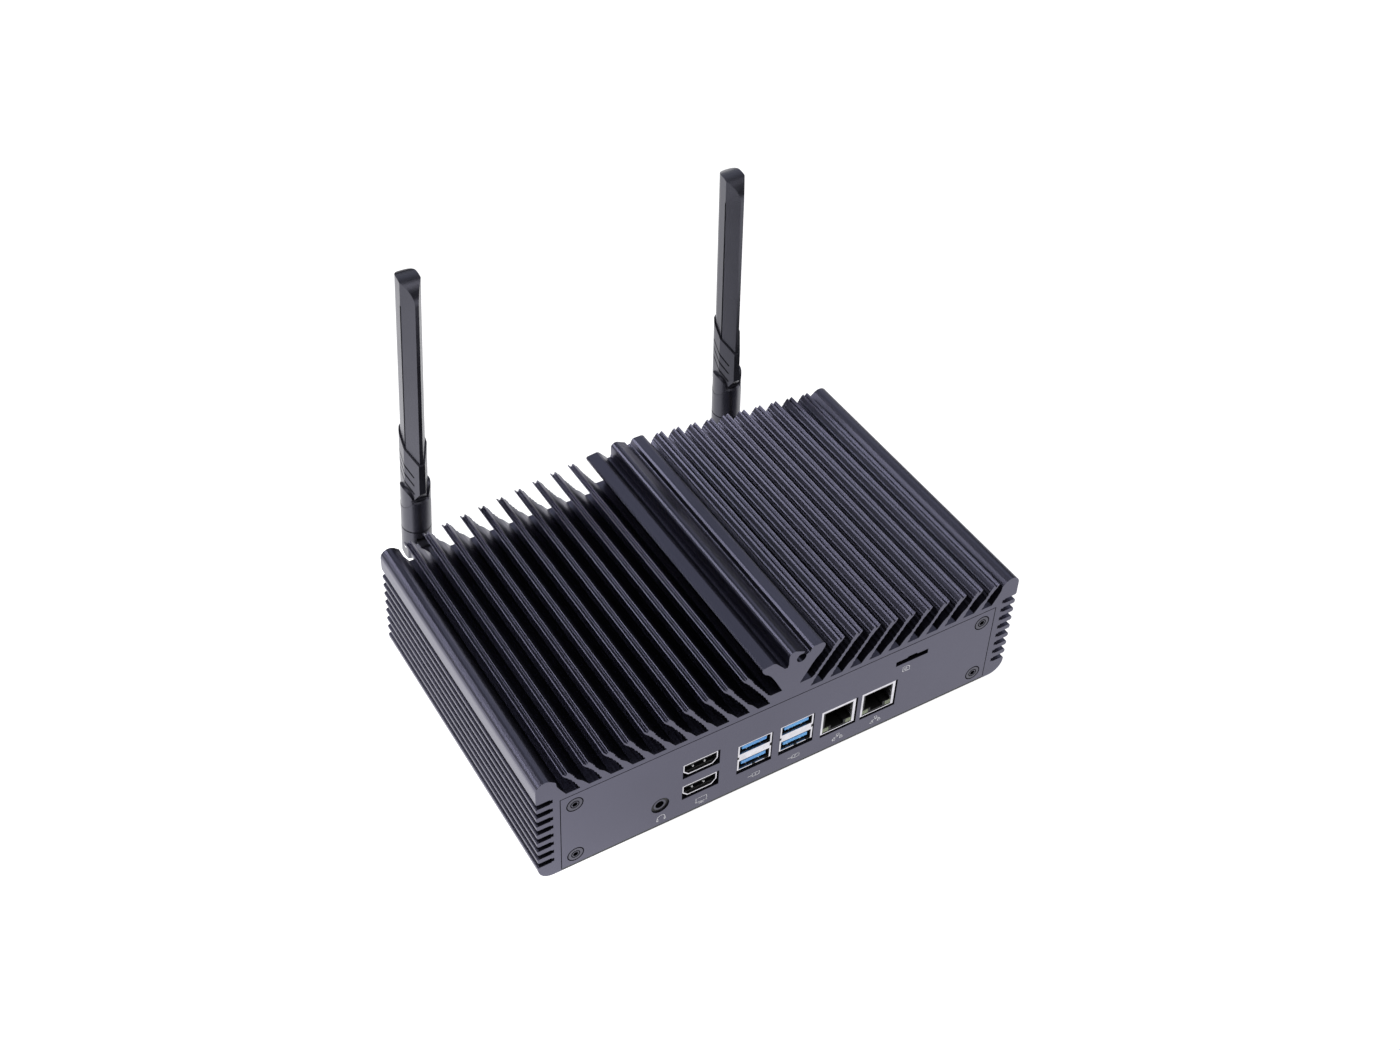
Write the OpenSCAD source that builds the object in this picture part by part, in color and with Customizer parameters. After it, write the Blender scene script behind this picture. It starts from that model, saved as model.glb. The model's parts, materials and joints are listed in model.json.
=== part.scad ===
// Fanless mini PC: an extruded aluminium heatsink case around a small mainboard,
// with two folding Wi-Fi antennas on its rear panel. Millimetres, +Z up, ports towards -Y.

/* [Case] */
// Width of the extruded case, side to side
body_w = 215.3; // [215:0.1:216]
// Depth of the extruded case, front face to rear face
body_d = 134.6; // [132:0.2:140]
// Height from the underside of the case to the floor of the fin slots
fin_floor = 43.7; // [43.6:0.1:44.2]
// Width of the space inside the case
cavity_w = 195.7; // [195:0.1:196]
// Height of the ceiling above the underside of the case
ceiling_z = 41.3; // [41:0.1:41.5]
// Thickness of the front and rear panels
panel_t = 2; // [1.8:0.1:2.2]
// Thickness of the bottom cover
cover_t = 1; // [0.9:0.1:1.1]
// Height of the rubber feet below the case
foot_h = 2; // [1:0.5:5]
// Radius of the case's two lower edges
corner_r = 6.5; // [6:0.1:6.6]

/* [Cooling fins] */
// Fins on each side of the central ridge
fin_count = 10; // [10:1:10]
// Distance from one fin to the next
fin_pitch = 8.98; // [8.9:0.01:8.98]
// Centre of the outermost fin's root from the side of the case, left and right
fin_first = [19.8, 19.2];
// Height of the outermost fin's tip above the underside
fin_tip_low = 54.4; // [54:0.1:55]
// How much higher each fin is than its outer neighbour
fin_tip_step = 1.0; // [0.9:0.05:1.05]
// Lean of the fins from vertical, in degrees
fin_lean = 34.5; // [33:0.5:35]
// Pitch of the small ribs along a fin's sides
rib_pitch = 2.3; // [2.2:0.1:2.6]
// Height of the small ribs
rib_h = 0.3; // [0.1:0.05:0.35]

/* [Side grooves] */
// Grooves on each side
groove_count = 8; // [1:1:8]
// Height of the lowest groove's centre
groove_z = 9; // [9:0.1:9.1]
// Distance from one groove to the next
groove_pitch = 4.85; // [4.8:0.01:4.87]

/* [Screws and bores] */
// Panel screws' distance from the middle of the case
panel_screw_x = 91.95; // [91.8:0.05:92]
// Height of the lower and upper panel screws
panel_screw_z = [6.2, 35.5];
// Radius of the screw channel along the central ridge
channel_r = 2.1; // [1.9:0.1:2.1]
// Spacing of the square of mounting nuts in the bottom cover
vesa_pitch = 75; // [75:25:75]
// Radius of the mounting nuts' bores
nut_bore_r = 2.05; // [1.95:0.05:2.1]

/* [Mainboard] */
// Height of the mainboard's upper side above the underside
board_top = 10; // [9.8:0.1:10]
// Width of the mainboard
board_w = 170; // [166:1:172]
// Thickness of the mainboard
board_t = 1.6; // [1.2:0.1:1.7]
// Depth of the connectors' mouths behind the face of the front panel
mouth_y = 0.25; // [0.1:0.05:0.5]

/* [Antennas] */
// Middle of each antenna's connector across the case, left and right
antenna_x = [-82.75, 70.2];
// Height of the connectors above the underside
antenna_z = 30.5; // [30:0.5:31]
// Distance of the hinge pins behind the rear panel
hinge_back = 22.4; // [22.4:0.1:23]
// Sideways lean of each antenna as it stands, in degrees
antenna_lean = [2, -2.2];
// Forward tilt of both antennas as they stand, in degrees
antenna_tilt = 1.5; // [0:0.5:2]
// Radius of the antenna's round lower barrel
barrel_r = 6.4; // [6.3:0.1:6.4]
// Height of the blade's tip above the hinge pin
blade_len = 137; // [100:1:180]

/* [Hidden] */
$fn = 64;
half_w = body_w / 2;
slit = 0.1;                                   // gap round a panel or cover in its opening
cover_gap = 0.05;                             // gap between two parts that slide together
hinge_y = body_d + hinge_back;
reach_y = hinge_y + 6.9;                      // rearmost point, past the antennas
front_y = -reach_y / 2;                       // front face, so that the origin is in the middle
board_low = board_top - board_t;
board_y = [3, 123];                           // front and rear edge of the mainboard
board_holes = [[-80, 9], [80, 9], [-80, 117], [80, 117]];
boss_r = 4.2;                                 // screw bosses inside the case
m3_r = 1.5;
m3_bore = 1.6;
cover_screw_y = [20, body_d / 2, body_d - 20];
vesa_y = body_d / 2;
nut_shank_r = 2.7;                            // mounting nuts' shanks in the cover

// Places along the front panel, measured from the middle of the case
audio_x = -55.75;
audio_z = 12.2;
hdmi_x = -38.4;
hdmi_z = [13.9, 26.15];                       // middles of the lower and upper HDMI ports
usb_x = [-14, 5.15];
lan_x = [24.85, 43.75];
sim_x = 58.1;
sim_z = 33.4;

// Places along the rear panel
dc_x = 50;
dc_z = 17;
button_x = 26;
button_z = 17;
button_r = 4;
button_travel = 1;

// The processor and its heat-transfer block
cpu_at = [-10, 62];
block_size = [56, 50];
block_flange = 9;
block_screws = [[-23, -20], [-23, 20], [23, -20], [23, 20]];

// ---------- helpers ----------

// Puts a shape from the case's own frame (middle of the front edge of the underside)
// into the model's frame.
module place() {
    translate([0, front_y, foot_h]) children();
}

// Extrudes an X-Z outline towards the rear, from y0.
module along_y(y0, len) {
    translate([0, y0 + len, 0]) rotate([90, 0, 0]) linear_extrude(len) children();
}

// A cylinder along Y, from y0 towards the rear.
module rod_y(x, z, y0, len, r) {
    translate([x, y0 + len, z]) rotate([90, 0, 0]) cylinder(r = r, h = len);
}

// A box given by its middle in X, its front in Y and its bottom in Z.
module slab(x, y, z, size) {
    translate([x - size[0] / 2, y, z]) cube(size);
}

// Points of an arc in the X-Z plane.
function arc(cx, cz, r, from, to, steps) =
    [for (i = [0:steps]) let (a = from + (to - from) * i / steps)
        [cx + r * cos(a), cz + r * sin(a)]];

function reversed(list) = [for (i = [len(list) - 1:-1:0]) list[i]];
function mirrored(list) = [for (p = reversed(list)) [-p[0], p[1]]];

// Countersunk screw along -Z with its head's face at z = 0 and a hexagon socket.
module countersunk_screw(len) {
    head_r = 3.3;
    head_h = 1.75;
    difference() {
        union() {
            translate([0, 0, -head_h]) cylinder(r1 = m3_r, r2 = head_r, h = head_h);
            translate([0, 0, -len]) cylinder(r = m3_r, h = len - head_h + 0.2);
        }
        translate([0, 0, -1.2]) cylinder(r = 1.2, h = 2, $fn = 6);
    }
}

// Low pan-head screw along -Z, its head above z = 0.
module pan_screw(len, head_r, head_h, shank_r) {
    difference() {
        union() {
            cylinder(r = head_r, h = head_h);
            translate([0, 0, -len]) cylinder(r = shank_r, h = len + 0.1);
        }
        translate([0, 0, head_h / 2]) cylinder(r = head_r / 2.2, h = head_h, $fn = 6);
    }
}

// ---------- case ----------

// Half-widths of a fin's foot and shank, at distance s from the slot floor: on the outer
// side, and on the side towards the middle of the case.
function fin_outer(s) = s < 6 ? 1.5 - 0.125 * s : 0.75;
function fin_inner(s) = s < 3.4 ? 1.25 : s < 6.2 ? 1.25 - 0.25 * (s - 3.4) : 0.55;

// A rib's three points on a flank, short below its crest and long above it: side is -1 on
// the outer flank, climbing, and 1 on the inner flank, descending.
function rib(side, half, s) = [[side * half, s + (side < 0 ? -0.25 : 0.85)],
    [side * (half + rib_h), s], [side * half, s + (side < 0 ? 0.85 : -0.25)]];

// One fin's outline in its own frame: across the fin, then along it from the slot floor.
// The flanks are ribbed, and the head is wider and ends in two level prongs with a notch
// between.
function fin_local(len, inner_foot) = let (
        head = len - 4.4,
        outer_ribs = floor((head - 3.4) / rib_pitch),
        inner_ribs = floor((head - 8) / rib_pitch))
    concat(
        [[-1.5, 1.5 * tan(fin_lean)]],
        [for (i = [0:outer_ribs]) let (s = 2.4 + i * rib_pitch) each rib(-1, fin_outer(s), s)],
        // outer prong
        [[-0.75, head + 0.3], [-1.05, head + 1.1], [-0.95, head + 2], [-1.3, len - 0.8],
         [-1.35, len + 0.7], [-1.2, len + 1.35], [-0.88, len + 1.38], [-0.76, len + 0.95]],
        // notch
        [[-0.6, len - 0.45], [-0.1, len - 0.4]],
        // inner prong, with two beads below it
        [[0.5, len + 0.1], [0.8, len + 0.13], [0.99, len - 0.55], [0.95, len - 2.15],
         [1.05, len - 2.35], [1.17, len - 2.8], [0.9, len - 3], [0.88, len - 3.45],
         [0.98, len - 3.65], [1.1, len - 4.1], [0.72, len - 4.4]],
        [for (i = [inner_ribs:-1:0]) let (s = 7.2 + i * rib_pitch)
            each rib(1, fin_inner(s), s)],
        inner_foot);

// The inner side of a fin's foot: down to the common slot floor, or to the raised floor
// beside the central ridge.
low_foot = [[0.55, 6.2], [1.25, 3.4], [1.5, -1.5 * tan(fin_lean)]];
ridge_floor = 48.2;
raised_foot = [[0.55, 6.2],
    [1.1, (ridge_floor - fin_floor - 1.1 * sin(fin_lean)) / cos(fin_lean)]];

// Fin number k of a bank that leans outwards to the left.
function fin(k, first) = let (
        root = -half_w + first + fin_pitch * k,
        len = (fin_tip_low + fin_tip_step * k - fin_floor) / cos(fin_lean))
    [for (p = fin_local(len, k == fin_count - 1 ? raised_foot : low_foot))
        [root - p[1] * sin(fin_lean) + p[0] * cos(fin_lean),
         fin_floor + p[1] * cos(fin_lean) + p[0] * sin(fin_lean)]];

// One side groove with rounded lips: a wide mouth and a narrower bottom.
function groove(z) = let (x = -half_w) concat(
    arc(x + 0.8, z - 2.1, 0.8, 180, 90, 3),
    [[x + 5.7, z - 1.3], [x + 5.7, z - 0.9], [x + 6.8, z - 0.9], [x + 6.8, z + 0.9],
     [x + 5.7, z + 0.9], [x + 5.7, z + 1.3]],
    arc(x + 0.8, z + 2.1, 0.8, 270, 180, 3));

// The left half of the case's outline, from the underside up to the central ridge.
function bank(first) = concat(
    arc(-half_w + corner_r, corner_r, corner_r, 270, 180, 8),
    [for (i = [0:groove_count - 1]) each groove(groove_z + i * groove_pitch)],
    arc(-half_w + 3.8, 51, 3.8, 180, 50, 9),
    [[-half_w + 8.2, 52.28], [-half_w + 8.5, 50], [-half_w + 9.9, 47.4],
     [-half_w + 12.2, fin_floor]],
    [for (k = [0:fin_count - 1]) each fin(k, first)]);

// The central ridge, left to right: a flat ledge, a notch, a domed wall round the screw
// channel, the channel's open slot, a small prong and a flat-topped crest.
function ridge() = concat(
    [[-3.75, ridge_floor], [-5.3, 51.3], [-6.6, 54], [-8.05, 56.7], [-9.4, 59],
     [-10.8, 60.5], [-12.1, 61.4], [-13.3, 63], [-13.6, 64.3], [-13.1, 64.9], [-8.6, 65.4],
     [-7.5, 64.8], [-4.3, 61.1], [-3.5, 60], [-2.2, 60], [-1.75, 61.5]],
    arc(0.35, 65, 2.2, 180, 55, 6),
    [[4.4, 65.4], [4.95, 65.1], [4.3, 63.4], [5.3, 62.6], [6.3, 63.1], [6.75, 63.5],
     [7.25, 63.3], [7.5, 63.5], [8.2, 65.2], [8.9, 65.8], [12.4, 65.8]],
    arc(12.4, 63.9, 1.9, 90, -15, 5),
    [[13.1, 61.1], [10.8, 58.7], [8.6, 55.7], [7.1, 53.1], [5.7, 50.9], [4.1, ridge_floor]]);

channel_at = [3.75, 62.3];

// A screw boss in a corner of the case: a web from the side wall, and a round end.
module corner_boss(side, low) {
    boss_len = body_d - 2 * panel_t;
    z = panel_screw_z[low ? 0 : 1];
    bottom = low ? cover_t : z - boss_r;
    web = cavity_w / 2 - panel_screw_x;
    mirror([side < 0 ? 1 : 0, 0, 0]) {
        translate([panel_screw_x, panel_t, bottom])
            cube([web + 0.1, boss_len, z + boss_r - bottom]);
        rod_y(panel_screw_x, z, panel_t, boss_len, boss_r);
        if (low)
            translate([panel_screw_x - boss_r, panel_t, bottom])
                cube([boss_r + 0.1, boss_len, z - bottom]);
    }
}

module chassis() {
    color([0.13, 0.13, 0.15]) place() difference() {
        union() {
            difference() {
                along_y(0, body_d)
                    polygon(concat(bank(fin_first[0]), ridge(), mirrored(bank(fin_first[1]))));
                translate([-cavity_w / 2, -1, -1]) cube([cavity_w, body_d + 2, ceiling_z + 1]);
            }
            for (side = [-1, 1], low = [true, false]) corner_boss(side, low);
        }
        rod_y(channel_at[0], channel_at[1], -1, body_d + 2, channel_r);
        for (side = [-1, 1], z = panel_screw_z) {
            rod_y(side * panel_screw_x, z, 0, 13, m3_bore);
            rod_y(side * panel_screw_x, z, body_d - 13, 13, m3_bore);
        }
        for (side = [-1, 1], y = cover_screw_y)
            translate([side * panel_screw_x, y, 0]) cylinder(r = m3_bore, h = 8);
        for (p = block_screws) translate([cpu_at[0] + p[0], cpu_at[1] + p[1], ceiling_z - 1])
            cylinder(r = m3_bore, h = 2.8);
    }
}

// Plate that fills one end of the case, with its countersunk corner holes.
module end_panel(y) {
    out = y < body_d / 2 ? 0 : 1;
    difference() {
        slab(0, y, cover_t, [cavity_w - 2 * slit, panel_t, ceiling_z - cover_t - slit]);
        for (side = [-1, 1], z = panel_screw_z) translate([side * panel_screw_x, y, z])
            translate([0, out * panel_t, 0]) rotate([out == 1 ? -90 : 90, 0, 0]) {
                translate([0, 0, -panel_t - 1]) cylinder(r = m3_bore + 0.1, h = panel_t + 2);
                translate([0, 0, -1.8]) cylinder(r1 = m3_bore, r2 = 3.45, h = 1.85);
            }
    }
}

// The outline of an HDMI port: square above, with its lower corners cut off.
module hdmi_outline(w, h) {
    cut = min(2.2, h / 2.6);
    polygon([[-w / 2, h / 2], [w / 2, h / 2], [w / 2, -h / 2 + cut], [w / 2 - cut, -h / 2],
        [-w / 2 + cut, -h / 2], [-w / 2, -h / 2 + cut]]);
}

module front_panel() {
    color([0.15, 0.15, 0.17]) place() difference() {
        end_panel(0);
        rod_y(audio_x, audio_z, -1, panel_t + 2, 3.9);
        for (z = hdmi_z) slab(hdmi_x + 0.3, -1, z - 4.4, [16.3, panel_t + 2, 7.9]);
        for (x = usb_x) slab(x, -1, board_top - 0.2, [15.9, panel_t + 2, 16.3]);
        for (x = lan_x) slab(x + 0.3, -1, board_top - 1.1, [16.9, panel_t + 2, 14.8]);
        translate([sim_x, 0, sim_z]) along_y(-1, panel_t + 2)
            polygon([[-7.7, -1.4], [7.7, -1.4], [7.7, 1.1], [2.6, 1.1], [1.9, 1.7],
                [-1.9, 1.7], [-2.6, 1.1], [-7.7, 1.1]]);
    }
}

module rear_panel() {
    color([0.15, 0.15, 0.17]) place() difference() {
        end_panel(body_d - panel_t);
        for (x = antenna_x) rod_y(x, antenna_z, body_d - panel_t - 1, panel_t + 2, 3.25);
        rod_y(dc_x, dc_z, body_d - panel_t - 1, panel_t + 2, 4.1);
        rod_y(button_x, button_z, body_d - panel_t - 1, panel_t + 2, 5.6);
    }
}

module bottom_cover() {
    color([0.2, 0.2, 0.21]) place() difference() {
        slab(0, 0, 0, [cavity_w - 2 * slit, body_d, cover_t]);
        for (side = [-1, 1], y = cover_screw_y)
            translate([side * panel_screw_x, y, -1]) cylinder(r = m3_bore + 0.1, h = 4);
        for (dx = [-1, 1], dy = [-1, 1])
            translate([dx * vesa_pitch / 2, vesa_y + dy * vesa_pitch / 2, -1])
                cylinder(r = nut_shank_r + cover_gap, h = 4);
    }
}

module panel_screws() {
    color([0.1, 0.1, 0.11]) place() for (side = [-1, 1], z = panel_screw_z) {
        translate([side * panel_screw_x, 0, z]) rotate([90, 0, 0]) countersunk_screw(10);
        translate([side * panel_screw_x, body_d, z]) rotate([-90, 0, 0]) countersunk_screw(10);
    }
}

module cover_screws() {
    color([0.1, 0.1, 0.11]) place() for (side = [-1, 1], y = cover_screw_y)
        translate([side * panel_screw_x, y, 0]) mirror([0, 0, 1])
            pan_screw(6, 2.8, 0.8, m3_r);
}

module rubber_feet() {
    color([0.08, 0.08, 0.08]) place() for (side = [-1, 1], y = [16, body_d - 16])
        translate([side * 78, y, -foot_h]) {
            cylinder(r1 = 7.4, r2 = 8, h = foot_h / 2);
            translate([0, 0, foot_h / 2]) cylinder(r = 8, h = foot_h / 2);
        }
}

// Press-in nuts in the cover's mounting holes, flush with its underside.
module mounting_nuts() {
    color([0.75, 0.75, 0.72]) place() for (dx = [-1, 1], dy = [-1, 1])
        translate([dx * vesa_pitch / 2, vesa_y + dy * vesa_pitch / 2, 0])
            difference() {
                union() {
                    cylinder(r = nut_shank_r, h = cover_t + 0.1);
                    translate([0, 0, cover_t]) cylinder(r = 4, h = 2);
                }
                translate([0, 0, -1]) cylinder(r = nut_bore_r, h = 6);
            }
}

// ---------- mainboard and what is on it ----------

module standoffs() {
    color([0.75, 0.6, 0.3]) place() for (p = board_holes)
        translate([p[0], p[1], cover_t]) difference() {
            cylinder(r = 2.9, h = board_low - cover_t, $fn = 6);
            translate([0, 0, 1]) cylinder(r = m3_bore, h = board_low);
        }
}

module mainboard() {
    color([0.05, 0.2, 0.12]) place() difference() {
        slab(0, board_y[0], board_low, [board_w, board_y[1] - board_y[0], board_t]);
        for (p = board_holes) translate([p[0], p[1], 0]) cylinder(r = m3_bore, h = 20);
    }
}

module board_screws() {
    color([0.75, 0.75, 0.75]) place() for (p = board_holes)
        translate([p[0], p[1], board_top]) pan_screw(6, 2.8, 1.8, m3_r);
}

cpu_top = board_top + 2;
pad_t = 0.4;

module processor() {
    color([0.3, 0.32, 0.3]) place() {
        slab(cpu_at[0], cpu_at[1] - 14, board_top, [24, 28, 1.2]);
        slab(cpu_at[0], cpu_at[1] - 6, board_top + 1.2, [10, 12, 0.8]);
    }
}

module thermal_pad() {
    color([0.55, 0.57, 0.6]) place()
        slab(cpu_at[0], cpu_at[1] - 7, cpu_top, [12, 14, pad_t]);
}

// The block carries the processor's heat up to the case, and is screwed to its ceiling.
module heat_block() {
    low = cpu_top + pad_t;
    color([0.72, 0.72, 0.74]) place() difference() {
        union() {
            slab(cpu_at[0], cpu_at[1] - 15, low, [30, 30, ceiling_z - low]);
            slab(cpu_at[0], cpu_at[1] - block_size[1] / 2, ceiling_z - block_flange,
                [block_size[0], block_size[1], block_flange]);
        }
        for (p = block_screws) translate([cpu_at[0] + p[0], cpu_at[1] + p[1], 0])
            cylinder(r = m3_bore, h = 60);
    }
}

module heat_block_screws() {
    color([0.7, 0.7, 0.7]) place() for (p = block_screws)
        translate([cpu_at[0] + p[0], cpu_at[1] + p[1], ceiling_z - block_flange])
            mirror([0, 0, 1]) pan_screw(block_flange + 1.5, 2.8, 1.8, m3_r);
}

memory_at = [24, 40];                         // front corner of the memory socket
memory_len = 70;

module memory_socket() {
    color([0.12, 0.12, 0.13]) place() difference() {
        union() {
            translate([memory_at[0], memory_at[1], board_top]) cube([6.5, memory_len, 5.2]);
            for (y = [memory_at[1], memory_at[1] + memory_len - 2])
                translate([memory_at[0] + 6, y, board_top]) cube([22, 2 - cover_gap, 5.2]);
        }
        translate([memory_at[0] + 2.5, memory_at[1] + 2, board_top + 3])
            cube([30, memory_len - 4, 1.3]);
    }
}

module memory_module() {
    y0 = memory_at[1] + 2 + slit;
    len = memory_len - 4 - 2 * slit;
    color([0.05, 0.25, 0.15]) place() {
        translate([memory_at[0] + 3, y0, board_top + 3.1]) cube([30, len, 1.1]);
        for (i = [0:3]) translate([memory_at[0] + 14, y0 + 4 + 16 * i, board_top + 4.2])
            cube([12, 10, 0.9]);
    }
}

drive_at = [-64, 28];                         // middle of the drive's socket, its front
wifi_at = [-43, 105];                         // middle of the card's socket, its left

module card_socket() {
    difference() {
        translate([-11, 0, 0]) cube([22, 8, 4.2]);
        translate([-11.2, 4, 2.5]) cube([22.4, 5, 1]);
    }
}

module card_sockets() {
    color([0.1, 0.1, 0.1]) place() {
        translate([drive_at[0], drive_at[1], board_top]) card_socket();
        translate([wifi_at[0], wifi_at[1], board_top]) rotate(-90) card_socket();
    }
}

// A plug-in card with its chips, lying along +Y from its socket, with a notch for its screw.
module card(len, chips) {
    difference() {
        translate([-11 + 0.3, 4.1, 2.6]) cube([21.4, len, 0.8]);
        translate([0, len + 4.1, 0]) cylinder(r = 1.9, h = 6);
    }
    for (c = chips) translate([c[0] - c[2] / 2, c[1], 3.4]) cube([c[2], c[3], 1.2]);
}

module drive_module() {
    color([0.06, 0.12, 0.3]) place() translate([drive_at[0], drive_at[1], board_top])
        card(80, [[0, 14, 14, 18], [0, 36, 12, 10], [0, 52, 14, 18]]);
}

module wifi_card() {
    color([0.06, 0.2, 0.16]) place() translate([wifi_at[0], wifi_at[1], board_top])
        rotate(-90) {
            card(30, [[0, 10, 15, 13]]);
            for (x = [-4, 4]) translate([x, 26, 3.4]) cylinder(r = 1.2, h = 0.6);
        }
}

// Posts with screws that hold the free ends of the two plug-in cards.
module card_screws() {
    color([0.75, 0.72, 0.62]) place()
        for (p = [[drive_at[0], drive_at[1] + 84.1], [wifi_at[0] + 34.1, wifi_at[1]]])
            translate([p[0], p[1], board_top]) {
                cylinder(r = 2.6, h = 2.5);
                cylinder(r = 1.6, h = 4);
                translate([0, 0, 3.5]) cylinder(r = 2.8, h = 1);
            }
}

cell_at = [6, 106];

module coin_cell_holder() {
    color([0.1, 0.1, 0.1]) place() translate([cell_at[0], cell_at[1], board_top])
        difference() {
            cylinder(r = 11.6, h = 4);
            translate([0, 0, 1]) cylinder(r = 10.1, h = 5);
            translate([-4, -13, 1]) cube([8, 6, 5]);
        }
}

module coin_cell() {
    color([0.8, 0.8, 0.8]) place() translate([cell_at[0], cell_at[1], board_top + 1]) {
        cylinder(r = 9.6, h = 2.2);
        cylinder(r = 8.6, h = 3.2);
    }
}

module inductors() {
    color([0.25, 0.25, 0.26]) place() for (i = [0:3])
        slab(-46, 40 + 10 * i, board_top, [7, 7, 4]);
}

module capacitors() {
    color([0.75, 0.75, 0.78]) place() for (i = [0:4])
        translate([-30 + 10 * i, 31, board_top]) {
            slab(0, -3.3, 0, [6.6, 6.6, 0.8]);
            cylinder(r = 3.1, h = 6);
        }
}

// A thin round cable swept along a cubic curve between two points.
function bezier(p, t) = pow(1 - t, 3) * p[0] + 3 * pow(1 - t, 2) * t * p[1]
    + 3 * (1 - t) * t * t * p[2] + pow(t, 3) * p[3];

module swept_cable(p, r, rings, sides) {
    points = [for (i = [0:rings]) let (
            t = i / rings,
            at = bezier(p, t),
            ahead = bezier(p, min(1, t + 0.01)) - bezier(p, max(0, t - 0.01)),
            along = ahead / norm(ahead),
            across = cross(along, [0.1, 0.05, 1]),
            u = across / norm(across),
            v = cross(u, along))
        each [for (k = [0:sides - 1]) let (a = 360 * k / sides)
            at + r * (u * cos(a) + v * sin(a))]];
    faces = concat(
        [[for (k = [0:sides - 1]) k]],
        [for (i = [0:rings - 1], k = [0:sides - 1]) let (
                a = i * sides + k, b = i * sides + (k + 1) % sides)
            [a, a + sides, b + sides, b]],
        [[for (k = [sides - 1:-1:0]) rings * sides + k]]);
    polyhedron(points, faces);
}

// Coaxial lead from the wireless card to the back of an antenna jack.
module pigtail(index) {
    side = index == 0 ? 4 : -4;
    from = [wifi_at[0] + 26, wifi_at[1] + side, board_top + 4.05];
    to = [antenna_x[index], body_d - 12.6, antenna_z];
    out = to + [0, -14, 0];
    color([0.08, 0.08, 0.08]) place() {
        swept_cable([from, from + [0, 0, 14], out, to], 0.7, 24, 8);
    }
}

module left_pigtail() { pigtail(0); }
module right_pigtail() { pigtail(1); }

// ---------- front connectors ----------

module audio_jack() {
    color([0.1, 0.1, 0.11]) place() difference() {
        union() {
            slab(audio_x, panel_t + 0.1, board_top, [7.2, 12, 5.6]);
            rod_y(audio_x, audio_z, 0.6, 4, 3.8);
        }
        rod_y(audio_x, audio_z, 0, 12.5, 1.8);
        rod_y(audio_x, audio_z, -0.4, 1.6, 2.7);
        slab(audio_x, board_y[0] - slit, board_top - 4, [12, 20, 4]);
    }
}

module audio_ring() {
    color([0.75, 0.75, 0.77]) place() difference() {
        rod_y(audio_x, audio_z, 0.5, 0.7, 2.65);
        rod_y(audio_x, audio_z, 0, 2, 1.8);
    }
}

hdmi_len = 11;

module hdmi_shells() {
    color([0.78, 0.78, 0.78]) place() for (z = hdmi_z) translate([hdmi_x, 0, z])
        difference() {
            along_y(mouth_y, hdmi_len) hdmi_outline(15.1, 6);
            along_y(mouth_y - 1, hdmi_len + 0.4) hdmi_outline(14.2, 5.1);
        }
}

module hdmi_housing() {
    color([0.08, 0.08, 0.08]) place() difference() {
        slab(hdmi_x, panel_t + 0.3, board_top, [16.6, 15, 20.2]);
        for (z = hdmi_z) translate([hdmi_x, 0, z]) along_y(0, mouth_y + hdmi_len)
            hdmi_outline(15.1, 6);
    }
}

module hdmi_tongues() {
    color([0.05, 0.05, 0.05]) place() for (z = hdmi_z)
        slab(hdmi_x, mouth_y + 1.2, z + 0.1, [11.2, hdmi_len - 1.8, 1.3]);
}

usb_w = 15.2;
usb_h = 15.7;
usb_len = 17.5;
usb_foot = 1.6;                               // height of the shell's underside at its mouth
usb_mouth = [[2, 4.9], [10.7, 4.6]];          // each mouth's bottom in the shell, and height

module usb_shells() {
    color([0.8, 0.8, 0.8]) place() for (x = usb_x) difference() {
        union() {
            slab(x, mouth_y, board_top + usb_foot, [usb_w, usb_len, usb_h - usb_foot]);
            slab(x, panel_t + 2, board_top, [usb_w, usb_len - 4, usb_foot + 0.1]);
        }
        for (m = usb_mouth)
            slab(x, mouth_y - 1, board_top + m[0], [usb_w - 1.4, usb_len, m[1]]);
    }
}

module usb_tongues() {
    color([0.2, 0.5, 0.9]) place() for (x = usb_x, m = usb_mouth)
        slab(x, mouth_y + 1, board_top + m[0] + 2.1, [11.1, usb_len - 2, 1.8]);
}

lan_w = 16;
lan_h = 13.3;
lan_len = 21;
lan_hole = [12.4, 8.4];                       // the plug's opening
lan_hole_z = 3.2;                             // its bottom, above the board

// The latch notch below the plug's opening, and the opening itself.
module lan_opening(x, y0, len) {
    slab(x, y0, board_top + lan_hole_z, [lan_hole[0], len, lan_hole[1]]);
    slab(x, y0, board_top + 1.2, [6, len, 2.5]);
}

module lan_shells() {
    color([0.78, 0.78, 0.78]) place() for (x = lan_x) difference() {
        slab(x, mouth_y, board_top, [lan_w, lan_len, lan_h]);
        slab(x, mouth_y - 1, board_top + 0.4, [lan_w - 0.8, lan_len + 0.6, lan_h - 0.8]);
    }
}

module lan_inserts() {
    color([0.07, 0.07, 0.07]) place() for (x = lan_x) difference() {
        slab(x, mouth_y + 0.2, board_top + 0.45, [lan_w - 0.9, lan_len - 0.7, lan_h - 0.9]);
        lan_opening(x, -1, 15);
        for (s = [-1, 1]) slab(x + s * 5.6, -1, board_top + 0.7, [3.2, 4, 2.3]);
    }
}

module lan_contacts() {
    color([0.85, 0.7, 0.35]) place() for (x = lan_x, i = [0:7])
        slab(x - 3.57 + 1.02 * i, 3.2, board_top + lan_hole_z + lan_hole[1] - 1,
            [0.5, 10.8, 0.5]);
}

module lan_lights() {
    color([0.75, 0.9, 0.7]) place() for (x = lan_x, s = [-1, 1])
        slab(x + s * 5.6, mouth_y + 0.15, board_top + 0.8, [3, 2.5, 2.1]);
}

sim_board_z = 30.6;
sim_post_x = [-2.5, 8.5];                     // the posts, from the middle of the card slot
sim_post_y = 21;

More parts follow.
